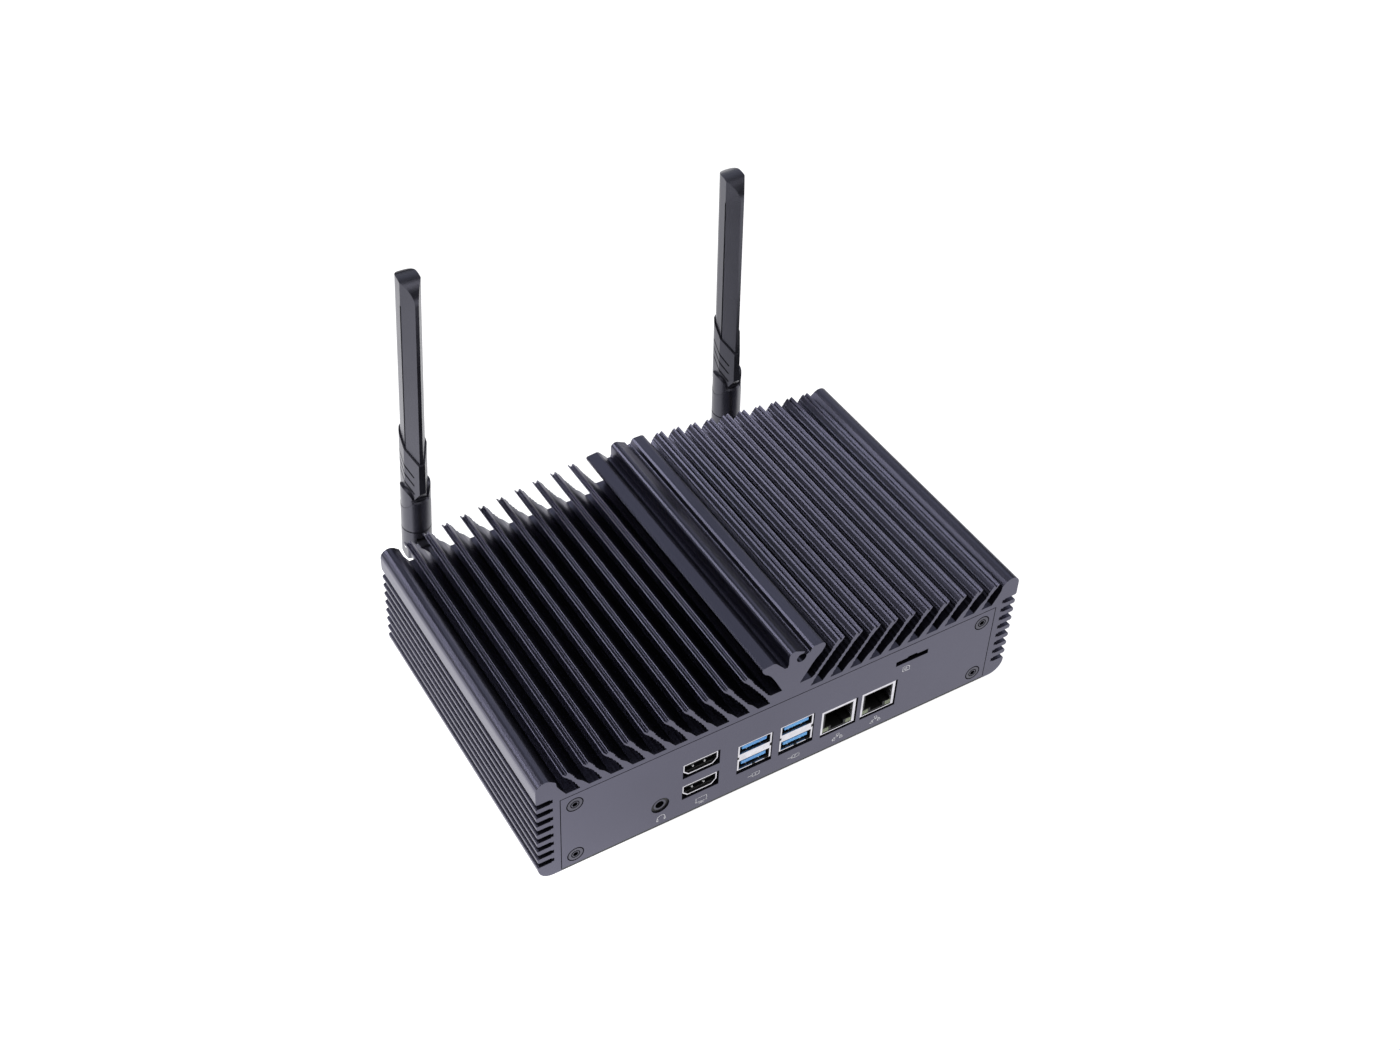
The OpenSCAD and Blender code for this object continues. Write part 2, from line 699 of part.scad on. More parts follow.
module sim_board() {
    color([0.05, 0.2, 0.12]) place() difference() {
        slab(sim_x + 1, panel_t + 0.8, sim_board_z, [24, 22, 1.2]);
        for (x = sim_post_x) translate([sim_x + x, sim_post_y, 0])
            cylinder(r = m3_bore, h = 60);
    }
}

// The reader's metal cage, open at the front.
module sim_reader() {
    color([0.8, 0.8, 0.8]) place() difference() {
        slab(sim_x, panel_t + 4, sim_board_z + 1.2, [16, 11, 2.6]);
        slab(sim_x, panel_t + 3, sim_board_z + 1.6, [15.2, 11, 1.4]);
    }
}

module sim_posts() {
    color([0.75, 0.6, 0.3]) place() for (x = sim_post_x)
        translate([sim_x + x, sim_post_y, board_top]) {
            cylinder(r = 2.4, h = sim_board_z - board_top);
            cylinder(r = m3_r, h = sim_board_z - board_top + 2);
            translate([0, 0, sim_board_z - board_top + 1.2]) cylinder(r = 2.4, h = 1.2);
        }
}

// ---------- rear connectors ----------

module power_socket() {
    color([0.08, 0.08, 0.08]) place() difference() {
        union() {
            slab(dc_x, body_d - panel_t - 12.1, board_top, [9, 12, 11]);
            rod_y(dc_x, dc_z, body_d - panel_t - 1, panel_t + 0.6, 4);
        }
        difference() {
            rod_y(dc_x, dc_z, body_d - 11, 12, 3.1);
            rod_y(dc_x, dc_z, body_d - 12, 10.5, 1.1);
        }
    }
}

switch_y = body_d - panel_t - 12;

// Housing behind the power button, with the bore that its stem runs in.
module power_switch() {
    color([0.1, 0.1, 0.1]) place() difference() {
        union() {
            slab(button_x, switch_y, board_top, [12, 8, 7]);
            rod_y(button_x, button_z, switch_y, 8, 4.5);
        }
        rod_y(button_x, button_z, switch_y + 2, 8, 2 + cover_gap);
    }
}

// Threaded metal collar round the button, with a flange outside the panel.
module button_bezel() {
    color([0.6, 0.6, 0.62]) place() difference() {
        union() {
            rod_y(button_x, button_z, body_d - panel_t - 2, panel_t + 2.1, 5.5);
            rod_y(button_x, button_z, body_d, 1.2, 6.8);
        }
        rod_y(button_x, button_z, body_d - 10, 20, button_r + cover_gap);
    }
}

module power_button() {
    stem_y = switch_y + 2 + button_travel + 0.3;
    color([0.55, 0.55, 0.57]) place() {
        rod_y(button_x, button_z, body_d - 2.5, 3.9, button_r);
        rod_y(button_x, button_z, stem_y, body_d - 2 - stem_y, 2);
    }
}

// ---------- antennas ----------

jack_len = 9.4;                               // thread outside the panel
thread_r = 3.15;

module antenna_jacks() {
    color([0.85, 0.7, 0.35]) place() for (x = antenna_x) difference() {
        union() {
            rod_y(x, antenna_z, body_d - panel_t - 0.1, panel_t + jack_len + 0.1, thread_r);
            translate([x, body_d - panel_t, antenna_z]) rotate([90, 0, 0])
                cylinder(r = 5.1, h = 2.4, $fn = 6);
            rod_y(x, antenna_z, body_d - panel_t - 10.5, 10, 1.6);
        }
        rod_y(x, antenna_z, body_d + 2, jack_len, 2.2);
        rod_y(x, antenna_z, body_d - panel_t - 12, 4, 0.75);
    }
}

module jack_washers() {
    color([0.8, 0.8, 0.8]) place() for (x = antenna_x) difference() {
        rod_y(x, antenna_z, body_d, 0.5, 5.2);
        rod_y(x, antenna_z, body_d - 1, 3, thread_r + 0.1);
    }
}

module jack_nuts() {
    color([0.85, 0.7, 0.35]) place() for (x = antenna_x) difference() {
        translate([x, body_d + 2.6, antenna_z]) rotate([90, 0, 0])
            cylinder(r = 4.6, h = 2.1, $fn = 6);
        rod_y(x, antenna_z, body_d - 1, 6, thread_r + 0.1);
    }
}

nut_y = [2.9, 12.1];                          // coupling nut's span behind the rear panel

// Knurled nut of each antenna, screwed over the jack, with a hole for the swivel's neck.
module coupling_nuts() {
    knurls = 20;
    color([0.7, 0.58, 0.3]) place() for (x = antenna_x) difference() {
        rod_y(x, antenna_z, body_d + nut_y[0], nut_y[1] - nut_y[0], 4.9);
        rod_y(x, antenna_z, body_d, jack_len + 0.4, thread_r + 0.1);
        rod_y(x, antenna_z, body_d, 20, 2.4);
        for (i = [0:knurls - 1]) translate([x, body_d + nut_y[0], antenna_z])
            rotate([0, 360 / knurls * i, 0]) translate([4.65, 0.8, -0.25])
                cube([1, nut_y[1] - nut_y[0] - 1.6, 0.5]);
    }
}

tongue_w = 5;                                 // the base's tongue between the barrel's ears
pin_r = 1.5;

// Moves a shape from the hinge pin's frame to where the antenna stands on its connector.
module on_hinge(index) {
    place() translate([antenna_x[index], hinge_y, antenna_z])
        rotate([0, antenna_lean[index], 0]) children();
}

// The base: a neck and collar behind the nut, and a round-ended tongue.
module hinge_base(index) {
    back = -hinge_back;
    color([0.09, 0.09, 0.1]) on_hinge(index) difference() {
        union() {
            rod_y(0, 0, back + jack_len + 0.6, nut_y[1] - jack_len + 1, 2.3);
            rod_y(0, 0, back + nut_y[1] + 0.3, hinge_back - nut_y[1] - 0.9 - barrel_r, 5.8);
            translate([-tongue_w / 2, -9, -5.4]) cube([tongue_w, 9, 10.8]);
            translate([-tongue_w / 2, 0, 0]) rotate([0, 90, 0])
                cylinder(r = 5.4, h = tongue_w);
        }
        translate([-6, 0, 0]) rotate([0, 90, 0]) cylinder(r = pin_r + 0.05, h = 12);
    }
}

module hinge_pin(index) {
    color([0.6, 0.6, 0.62]) on_hinge(index) rotate([antenna_tilt, 0, 0])
        translate([-ear_flat, 0, 0]) rotate([0, 90, 0]) cylinder(r = pin_r, h = 2 * ear_flat);
}

barrel_top = 27.2;                            // above the pin
ear_flat = 5.5;                               // half-width over the ears' flats
knuckle_r = 5.5;                              // round lower end of the grip
knuckle_at = [0.4, 28];                       // its middle, behind and above the pin

// The round barrel: two ears with flat sides below, a ring line, and a hollow on top that
// the grip's round lower end sits in.
module barrel(index) {
    color([0.09, 0.09, 0.1]) on_hinge(index) rotate([antenna_tilt, 0, 0]) difference() {
        union() {
            intersection() {
                translate([0, 0, -barrel_r]) cylinder(r = barrel_r, h = barrel_r + 8);
                translate([-ear_flat, 0, 0]) rotate([0, 90, 0]) union() {
                    cylinder(r = barrel_r, h = 2 * ear_flat);
                    translate([-9, -barrel_r - 1, 0])
                        cube([9, 2 * barrel_r + 2, 2 * ear_flat]);
                }
            }
            translate([0, 0, 0.8]) cylinder(r = barrel_r, h = barrel_top - 1.4);
            translate([0, 0, barrel_top - 0.6])
                cylinder(r1 = barrel_r, r2 = barrel_r - 0.6, h = 0.6);
        }
        translate([-tongue_w / 2 - 0.15, -10, -10]) cube([tongue_w + 0.3, 20, 16.8]);
        translate([-7, 0, 0]) rotate([0, 90, 0]) cylinder(r = pin_r, h = 14);
        translate([-10, knuckle_at[0], knuckle_at[1]]) rotate([0, 90, 0])
            cylinder(r = knuckle_r + 0.1, h = 20);
        translate([-1.7, -5, 15]) cube([3.4, 9.6, 20]);
        translate([0, 0, 10]) difference() {
            cylinder(r = barrel_r + 1, h = 0.6);
            translate([0, 0, -1]) cylinder(r = barrel_r - 0.3, h = 3);
        }
    }
}

blade_front = -7;
blade_side = [4.4, -1.2];                     // where the front faces meet the flanks

// A blade's plan: a narrow front edge, flat faces that open towards the flanks, and a
// round back. It is swollen sideways and backwards by out.
module blade_prism(edge, front, out, from, to) {
    translate([0, 0, from]) linear_extrude(to - from) polygon(concat(
        [[edge, front], [blade_side[0] + out, blade_side[1]]],
        arc(0, 2.6, 4.3 + out, 0, 180, 20),
        [[-blade_side[0] - out, blade_side[1]], [-edge, front]]));
}

grip_front = 7.4;
grip_front_top = 48;

// A finger notch across the front face and the flank of the grip, climbing to the rear.
module grip_notch(side, z) {
    translate([side * 4.1, -3, z]) rotate([45, 0, side * -31])
        cube([1, 7.6, 0.7], center = true);
    translate([side * 5.2, 1.6, z + 4.9]) rotate([45, 0, 0])
        cube([1, 8.2, 0.7], center = true);
}

// The grip: a sleeve round the blade's lower end, its upper edge cut on the slant, on a
// round knuckle as wide as the barrel.
module grip(index) {
    color([0.1, 0.1, 0.11]) on_hinge(index) rotate([antenna_tilt, 0, 0]) {
        difference() {
            union() {
                blade_prism(1.4, -grip_front, 0.7, knuckle_at[1], 61);
                intersection() {
                    translate([0, 0, 20]) cylinder(r = barrel_r - 0.1, h = 20);
                    translate([-10, knuckle_at[0], knuckle_at[1]]) rotate([0, 90, 0])
                        cylinder(r = knuckle_r, h = 20);
                }
            }
            // bevel under the nose
            translate([-10, -4.6, 27.6]) rotate([-60, 0, 0]) translate([0, -10, -10])
                cube([20, 10, 10]);
            // slanted upper edge
            translate([-10, -grip_front, grip_front_top]) rotate([45, 0, 0])
                cube([20, 30, 30]);
            // socket for the blade
            blade_prism(0.82, blade_front - 0.05, 0.05, 34, 70);
            for (side = [-1, 1], i = [0:2]) grip_notch(side, 34.5 + 4.5 * i);
        }
        translate([-1.6, -4.9, 15.1]) cube([3.2, 9.4, 12]);
    }
}

// The long blade, rounded over at the top towards its narrow front edge, with a groove
// down each side.
module blade(index) {
    top_r = 9.2;
    tip = blade_len - top_r;
    color([0.1, 0.1, 0.11]) on_hinge(index) rotate([antenna_tilt, 0, 0]) difference() {
        intersection() {
            blade_prism(0.77, blade_front, 0, 34.05, blade_len);
            union() {
                translate([-10, -10, 30]) cube([20, 20, tip - 30]);
                translate([-10, blade_front + top_r, tip]) rotate([0, 90, 0])
                    cylinder(r = top_r, h = 20);
            }
        }
        for (side = [-1, 1]) translate([side * blade_side[0], blade_side[1], tip / 2 + 16])
            cube([0.7, 0.7, tip - 36], center = true);
    }
}

module left_hinge_base() { hinge_base(0); }
module right_hinge_base() { hinge_base(1); }
module left_hinge_pin() { hinge_pin(0); }
module right_hinge_pin() { hinge_pin(1); }
module left_barrel() { barrel(0); }
module right_barrel() { barrel(1); }
module left_grip() { grip(0); }
module right_grip() { grip(1); }
module left_blade() { blade(0); }
module right_blade() { blade(1); }

chassis();
front_panel();
rear_panel();
bottom_cover();
panel_screws();
cover_screws();
rubber_feet();
mounting_nuts();
standoffs();
mainboard();
board_screws();
processor();
thermal_pad();
heat_block();
heat_block_screws();
memory_socket();
memory_module();
card_sockets();
drive_module();
wifi_card();
card_screws();
coin_cell_holder();
coin_cell();
inductors();
capacitors();
left_pigtail();
right_pigtail();
audio_jack();
audio_ring();
hdmi_housing();
hdmi_shells();
hdmi_tongues();
usb_shells();
usb_tongues();
lan_shells();
lan_inserts();
lan_contacts();
lan_lights();
sim_board();
sim_reader();
sim_posts();
power_socket();
power_switch();
button_bezel();
power_button();
antenna_jacks();
jack_washers();
jack_nuts();
coupling_nuts();
left_hinge_base();
right_hinge_base();
left_hinge_pin();
right_hinge_pin();
left_barrel();
right_barrel();
left_grip();
right_grip();
left_blade();
right_blade();
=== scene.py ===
import json
import math

import bmesh
import bpy
from mathutils import Matrix, Vector


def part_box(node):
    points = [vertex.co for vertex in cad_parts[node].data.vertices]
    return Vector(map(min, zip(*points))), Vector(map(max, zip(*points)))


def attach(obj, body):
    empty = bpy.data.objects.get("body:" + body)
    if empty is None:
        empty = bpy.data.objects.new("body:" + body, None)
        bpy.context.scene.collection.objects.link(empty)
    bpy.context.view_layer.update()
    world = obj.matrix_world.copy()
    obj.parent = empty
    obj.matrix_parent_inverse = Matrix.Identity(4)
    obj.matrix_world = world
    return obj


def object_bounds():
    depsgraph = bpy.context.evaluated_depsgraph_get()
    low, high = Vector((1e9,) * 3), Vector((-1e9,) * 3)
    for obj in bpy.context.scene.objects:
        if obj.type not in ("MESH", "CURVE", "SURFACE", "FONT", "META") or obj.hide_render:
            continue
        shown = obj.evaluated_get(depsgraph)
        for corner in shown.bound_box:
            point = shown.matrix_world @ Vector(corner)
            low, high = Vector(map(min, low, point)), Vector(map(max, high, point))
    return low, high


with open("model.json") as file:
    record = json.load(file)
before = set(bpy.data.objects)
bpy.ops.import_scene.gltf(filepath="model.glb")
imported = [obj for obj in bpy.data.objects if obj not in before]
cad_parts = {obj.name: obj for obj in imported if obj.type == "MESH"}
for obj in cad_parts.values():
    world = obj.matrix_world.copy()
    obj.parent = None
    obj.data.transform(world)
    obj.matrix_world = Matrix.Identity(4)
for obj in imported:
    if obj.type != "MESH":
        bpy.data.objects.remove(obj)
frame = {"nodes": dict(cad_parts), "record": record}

CAD_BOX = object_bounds()
MM = 0.001

# The case in its own millimetres: x from its middle, y back from the front face, z up from
# its underside.
FOOT_H = 2.0                      # height of the feet below the case
REAR_Y = 134.6                    # the rear face
MOUTH = 0.25                      # the connectors' mouths, behind the front face
HDMI_X, HDMI_Z = -38.4, (13.9, 26.15)
USB_X, USB_FLOORS = (-14, 5.15), (12.0, 20.7)
USB_HEIGHTS = (4.9, 4.6)          # inside each USB mouth, from its floor
USB_LOW, USB_SIDE = 11.6, 7.6     # the shell's underside, and its half-width
LAN_X = (24.85, 43.75)
BOARD = 10                        # top of the mainboard
AUDIO_X, AUDIO_Z = -55.75, 12.2
ANTENNA_X = (-82.75, 70.2)
SCREW_X, SCREW_Z = 91.95, (6.2, 35.5)
PROUD = 0.02                      # how far trim stands out from the face behind it
EDGE_BEVEL = 0.18                 # on the case and its end panels


# ---------- camera, light and floor ----------

def add_camera():
    """The photograph's camera: above and left of the front panel, level, framed off its axis."""
    data = bpy.data.cameras.new("camera")
    data.lens = 46.8
    data.sensor_width = 36.0
    data.shift_x, data.shift_y = 0.0702, -0.0748
    data.clip_start, data.clip_end = 0.01, 20.0
    camera = bpy.data.objects.new("camera", data)
    camera.location = (-0.2826, -0.4452, 0.5672)
    pitch, yaw = 40.33, 29.04
    camera.rotation_euler = (math.radians(90 - pitch), 0, math.radians(-yaw))
    bpy.context.scene.collection.objects.link(camera)
    bpy.context.scene.camera = camera


def softbox(name, at, aim, size, power, colour=(1, 1, 1)):
    """A rectangular area light at a point, turned to face another."""
    data = bpy.data.lights.new(name, "AREA")
    data.shape = "RECTANGLE"
    data.size, data.size_y = size
    data.energy = power
    data.color = colour
    light = bpy.data.objects.new(name, data)
    light.location = at
    light.rotation_euler = (Vector(aim) - Vector(at)).to_track_quat("-Z", "Y").to_euler()
    bpy.context.scene.collection.objects.link(light)


def add_light():
    """A narrow strip on the left for the fins' highlights, weak boxes elsewhere, a room dark
    enough to leave the slots near black, and the denoiser's inputs."""
    softbox("top_softbox", (-0.15, -0.35, 1.35), (0, 0, 0), (1.3, 1.0), 9, (1.0, 0.99, 0.98))
    softbox("left_strip", (-0.72, 0.70, 0.66), (0, 0, 0.05), (1.3, 0.22), 5, (0.96, 0.97, 1.0))
    softbox("back_fill", (0.6, 0.95, 1.15), (0, 0, 0), (1.3, 1.1), 3, (0.85, 0.9, 1.0))
    softbox("right_softbox", (1.3, -0.5, 0.7), (0, 0, 0.05), (0.7, 0.7), 3)
    softbox("rear_softbox", (0.9, 1.2, 0.35), (0, 0, 0.05), (0.6, 0.5), 2)
    world = bpy.data.worlds.new("room")
    world.use_nodes = True
    background = world.node_tree.nodes["Background"]
    background.inputs["Color"].default_value = (0.8, 0.84, 1.0, 1)
    background.inputs["Strength"].default_value = 0.03
    backdrop = world.node_tree.nodes.new("ShaderNodeBackground")    # white, to the camera only
    backdrop.inputs["Color"].default_value = (1, 1, 1, 1)
    by_ray = world.node_tree.nodes.new("ShaderNodeMixShader")
    rays = world.node_tree.nodes.new("ShaderNodeLightPath")
    link = world.node_tree.links.new
    link(rays.outputs["Is Camera Ray"], by_ray.inputs["Fac"])
    link(background.outputs["Background"], by_ray.inputs[1])
    link(backdrop.outputs["Background"], by_ray.inputs[2])
    link(by_ray.outputs["Shader"], world.node_tree.nodes["World Output"].inputs["Surface"])
    bpy.context.scene.world = world
    bpy.context.scene.view_settings.view_transform = "Standard"
    cycles = bpy.context.scene.cycles
    cycles.use_denoising = True
    cycles.denoising_input_passes = "RGB_ALBEDO"    # with normals as an input, the fins
    cycles.denoising_prefilter = "ACCURATE"         # speckle in the main view


def add_floor():
    """A white floor that glows, more so just left of the case. It is clear from below."""
    half = 3.0
    mesh = bpy.data.meshes.new("floor")
    mesh.from_pydata([(-half, -half, 0), (half, -half, 0), (half, half, 0), (-half, half, 0)],
                     [], [(0, 1, 2, 3)])
    floor = bpy.data.objects.new("floor", mesh)
    floor.location.z = CAD_BOX[0].z - 0.0002
    look = Look("floor_paper", (0.2, 0.2, 0.2), 0.9, Emission_Color=(1, 1, 1, 1))
    across = look.band("X", -0.30, -0.18, -0.10, -0.05)
    along = look.band("Y", -0.14, -0.06, 0.3, 0.5)
    patch = look.mix(1.0, across, along, "MULTIPLY")
    look.link(look.ramp(patch, (0.0, 1.05), (1.0, 1.6)), look.shader.inputs["Emission Strength"])
    look.bump(look.noise(900), 0.05)
    one_sided = look.node("MixShader")
    look.link(look.node("NewGeometry").outputs["Backfacing"], one_sided.inputs["Fac"])
    look.link(look.shader.outputs["BSDF"], one_sided.inputs[1])
    look.link(look.node("BsdfTransparent").outputs["BSDF"], one_sided.inputs[2])
    look.link(one_sided.outputs["Shader"], look.tree.nodes["Material Output"].inputs["Surface"])
    mesh.materials.append(look.material)
    bpy.context.scene.collection.objects.link(floor)


# ---------- materials ----------

class Look:
    """A Principled material whose colour, roughness and bump come from patterns in space."""

    def __init__(self, name, colour, roughness, **sockets):
        self.material = bpy.data.materials.new(name)
        self.material.use_nodes = True
        self.tree = self.material.node_tree
        self.shader = self.tree.nodes["Principled BSDF"]
        self.material.diffuse_color = (*colour, 1)
        self.shader.inputs["Base Color"].default_value = (*colour, 1)
        self.shader.inputs["Roughness"].default_value = roughness
        for socket, value in sockets.items():
            self.shader.inputs[socket.replace("_", " ")].default_value = value
        self.coordinates = None

    def node(self, kind, **values):
        """Adds a node, setting its properties by name and its input sockets by their labels."""
        made = self.tree.nodes.new("ShaderNode" + kind)
        for key, value in values.items():
            if hasattr(made, key):
                setattr(made, key, value)
            else:
                made.inputs[key].default_value = value
        return made

    def link(self, output, socket):
        self.tree.links.new(output, socket)

    def space(self, stretch=(1, 1, 1)):
        """Places in the model's frame, in metres, scaled along each axis."""
        if self.coordinates is None:
            self.coordinates = self.node("TexCoord").outputs["Object"]
        mapping = self.node("Mapping", Scale=stretch)
        self.link(self.coordinates, mapping.inputs["Vector"])
        return mapping.outputs["Vector"]

    def noise(self, scale, stretch=(1, 1, 1), detail=3.0):
        made = self.node("TexNoise", Scale=scale, Detail=detail)
        self.link(self.space(stretch), made.inputs["Vector"])
        return made.outputs["Fac"]

    def cells(self, scale):
        made = self.node("TexVoronoi", Scale=scale, feature="F1")
        self.link(self.space(), made.inputs["Vector"])
        return made.outputs["Distance"]

    def ramp(self, pattern, *stops):
        """Maps a pattern through (place, grey or colour) stops."""
        made = self.node("ValToRGB")
        elements = made.color_ramp.elements
        while len(elements) < len(stops):
            elements.new(0.5)
        for element, (place, value) in zip(elements, stops):
            element.position = place
            element.color = (*value, 1) if isinstance(value, tuple) else (value,) * 3 + (1,)
        self.link(pattern, made.inputs["Fac"])
        return made.outputs["Color"]

    def band(self, axis, rise, full, fall, end):
        """White between two places along an axis, fading to black either side of them."""
        split = self.node("SeparateXYZ")
        self.link(self.space(), split.inputs["Vector"])
        scaled = self.node("MapRange")
        scaled.inputs["From Min"].default_value = rise
        scaled.inputs["From Max"].default_value = end
        self.link(split.outputs[axis], scaled.inputs["Value"])
        span = end - rise
        return self.ramp(scaled.outputs["Result"], (0.0, 0.0), ((full - rise) / span, 1.0),
                         ((fall - rise) / span, 1.0), (1.0, 0.0))

    def mix(self, factor, first, second, blend="MIX"):
        """Mixes two colours, each an output or a plain colour."""
        made = self.node("Mix", data_type="RGBA", blend_type=blend)
        for value, socket in ((factor, made.inputs[0]), (first, made.inputs[6]),
                              (second, made.inputs[7])):
            if isinstance(value, bpy.types.NodeSocket):
                self.link(value, socket)
            else:
                socket.default_value = value if isinstance(value, float) else (*value, 1)
        return made.outputs[2]

    def colour(self, output):
        self.link(output, self.shader.inputs["Base Color"])

    def roughness(self, pattern, low, high):
        self.link(self.ramp(pattern, (0.3, low), (0.7, high)), self.shader.inputs["Roughness"])

    def bump(self, pattern, height_mm):
        """Relief of that height."""
        made = self.node("Bump", Strength=1.0, Distance=height_mm * MM)
        self.link(pattern, made.inputs["Height"])
        self.link(made.outputs["Normal"], self.shader.inputs["Normal"])


def anodised(name, colour, roughness, drawn=1.0):
    """Black anodised aluminium: faint lines along the extrusion and a cloudy dye."""
    look = Look(name, colour, roughness, Metallic=1.0)
    cloud = look.noise(18, detail=4.0)
    streak = look.noise(900, stretch=(1, 0.01, 1), detail=1.0)
    dark = tuple(c * 0.94 for c in colour)
    light = tuple(min(1.0, c * 1.06) for c in colour)
    look.colour(look.ramp(cloud, (0.3, dark), (0.7, light)))
    look.roughness(look.mix(0.5, streak, cloud), roughness - 0.03, roughness + 0.03)
    look.bump(streak, 0.0008 * drawn)
    return look


def powder_coat(name, colour):
    """Textured powder coat: an orange-peel surface with a fine sparkle of rougher spots."""
    look = Look(name, colour, 0.5, Metallic=0.0)
    peel = look.noise(1500, detail=2.0)
    look.colour(look.ramp(peel, (0.3, tuple(c * 0.75 for c in colour)), (0.7, colour)))
    look.roughness(peel, 0.42, 0.6)
    look.bump(peel, 0.03)
    return look


def moulded(name, colour, roughness, grain_mm=0.006, gloss=0.5, tint=(1, 1, 1)):
    """Moulded plastic with a fine spark-eroded grain and slight flow marks."""
    look = Look(name, colour, roughness, Specular_IOR_Level=gloss, Specular_Tint=(*tint, 1))
    grain = look.noise(5200, detail=2.0)
    flow = look.noise(60, detail=4.0)
    dark = tuple(c * 0.75 for c in colour)
    light = tuple(min(1.0, c * 1.25 + 0.002) for c in colour)
    look.colour(look.ramp(flow, (0.35, dark), (0.65, light)))
    look.roughness(look.mix(0.5, grain, flow), roughness - 0.05, roughness + 0.08)
    look.bump(grain, grain_mm)
    return look


def plated(name, colour, roughness, along="Y"):
    """Plated or tinned sheet metal: rolled lines and a soft mottle."""
    look = Look(name, colour, roughness, Metallic=1.0)
    thin = {"X": (0.02, 1, 1), "Y": (1, 0.02, 1), "Z": (1, 1, 0.02)}[along]
    rolled = look.noise(2600, stretch=thin, detail=2.0)
    mottle = look.noise(320, detail=4.0)
    look.colour(look.ramp(mottle, (0.3, tuple(c * 0.8 for c in colour)), (0.7, colour)))
    look.roughness(look.mix(0.5, rolled, mottle), roughness - 0.08, roughness + 0.1)
    look.bump(rolled, 0.004)
    return look


def black_oxide(name):
    look = Look(name, (0.035, 0.035, 0.04), 0.38, Metallic=0.9)
    pits = look.noise(3800, detail=3.0)
    look.colour(look.ramp(pits, (0.35, (0.02, 0.02, 0.024)), (0.65, (0.05, 0.05, 0.058))))
    look.roughness(pits, 0.3, 0.5)
    look.bump(pits, 0.006)
    return look


def rubber(name):
    look = Look(name, (0.02, 0.02, 0.02), 0.8, Specular_IOR_Level=0.35)
    grain = look.noise(2600, detail=4.0)
    dust = look.noise(220, detail=5.0)
    look.colour(look.ramp(dust, (0.4, (0.014, 0.014, 0.014)), (0.75, (0.04, 0.04, 0.038))))
    look.roughness(grain, 0.7, 0.92)
    look.bump(grain, 0.02)
    return look


def solder_mask(name, colour):
    """A circuit board: copper traces showing through the solder mask, and tinned pads."""
    look = Look(name, colour, 0.35, Specular_IOR_Level=0.6)
    made = look.node("TexBrick", Scale=1.0, offset=0.5)
    made.inputs["Brick Width"].default_value = 0.009
    made.inputs["Row Height"].default_value = 0.0016
    made.inputs["Mortar Size"].default_value = 0.00025
    look.link(look.space(), made.inputs["Vector"])
    light = tuple(min(1.0, c * 1.9 + 0.01) for c in colour)
    traces = look.mix(made.outputs["Fac"], colour, light)
    pads = look.ramp(look.cells(420), (0.12, 1.0), (0.14, 0.0))
    look.colour(look.mix(pads, traces, (0.72, 0.68, 0.5)))
    look.roughness(look.noise(700), 0.28, 0.42)
    look.bump(made.outputs["Fac"], 0.02)
    return look


def lens(name, colour):
    look = Look(name, colour, 0.3, Transmission_Weight=0.35, IOR=1.49)
    haze = look.noise(1800)
    look.colour(look.ramp(haze, (0.3, tuple(c * 0.85 for c in colour)), (0.7, colour)))
    look.roughness(haze, 0.22, 0.4)
    look.bump(haze, 0.006)
    return look


LOOKS = {
    "case_metal": anodised("case_metal", (0.1, 0.098, 0.135), 0.36),
    "panel_metal": anodised("panel_metal", (0.1, 0.098, 0.135), 0.34, drawn=0.3),
    "cover_steel": powder_coat("cover_steel", (0.03, 0.03, 0.033)),
    "black_screw": black_oxide("black_screw"),
    "dark_nickel": plated("dark_nickel", (0.095, 0.094, 0.12), 0.34, "X"),
    "rubber_foot": rubber("rubber_foot"),
    "cable": moulded("cable", (0.012, 0.012, 0.012), 0.5),
    "steel": plated("steel", (0.72, 0.72, 0.72), 0.32, "X"),
    "tin_shell": plated("tin_shell", (0.72, 0.71, 0.76), 0.24),
    "brass_part": plated("brass_part", (0.80, 0.62, 0.32), 0.28),
    "gold_contact": plated("gold_contact", (0.92, 0.72, 0.35), 0.2),
    "block_metal": plated("block_metal", (0.7, 0.7, 0.72), 0.35, "X"),
    "button_metal": plated("button_metal", (0.42, 0.42, 0.45), 0.3, "X"),
    "board": solder_mask("board", (0.012, 0.09, 0.045)),
    "card": solder_mask("card", (0.012, 0.03, 0.11)),
    "package": moulded("package", (0.07, 0.075, 0.072), 0.4),
    "pad": moulded("pad", (0.36, 0.38, 0.4), 0.7),
    "ferrite": moulded("ferrite", (0.06, 0.06, 0.064), 0.6),
    "black_plastic": moulded("black_plastic", (0.008, 0.008, 0.009), 0.45, gloss=0.3),
    "blue_plastic": moulded("blue_plastic", (0.1, 0.4, 1.0), 0.4),
    "light_lens": lens("light_lens", (0.3, 0.36, 0.2)),
    "ink": moulded("ink", (0.9, 0.9, 0.95), 0.5),
    # near white: a painted highlight for the glint on the tin contact dimples
    "painted_glint": moulded("painted_glint", (0.85, 0.85, 0.88), 0.3),
    # near black with no gloss: dark joints, and the painted shade round the screw sockets
    "gap": moulded("gap", (0.003, 0.003, 0.004), 0.8, gloss=0.0),
    "antenna_plastic": moulded("antenna_plastic", (0.016, 0.016, 0.021), 0.3, 0.004, 0.9,
                               (0.8, 0.8, 1.0)),
}


def finish_nodes():
    """Gives every CAD node the finish of its slot in the record."""
    for part in frame["record"]["subparts"]:
        obj = frame["nodes"][part["node"]]
        obj.data.materials.clear()
        obj.data.materials.append(LOOKS[part["material_slot"]].material)


# ---------- small pieces ----------

def place(x, y, z):
    """A point of the case's own frame in metres: millimetres across from its middle, back
    from its front face and up from its underside."""
    return Vector((x * MM, CAD_BOX[0].y + y * MM, CAD_BOX[0].z + (FOOT_H + z) * MM))


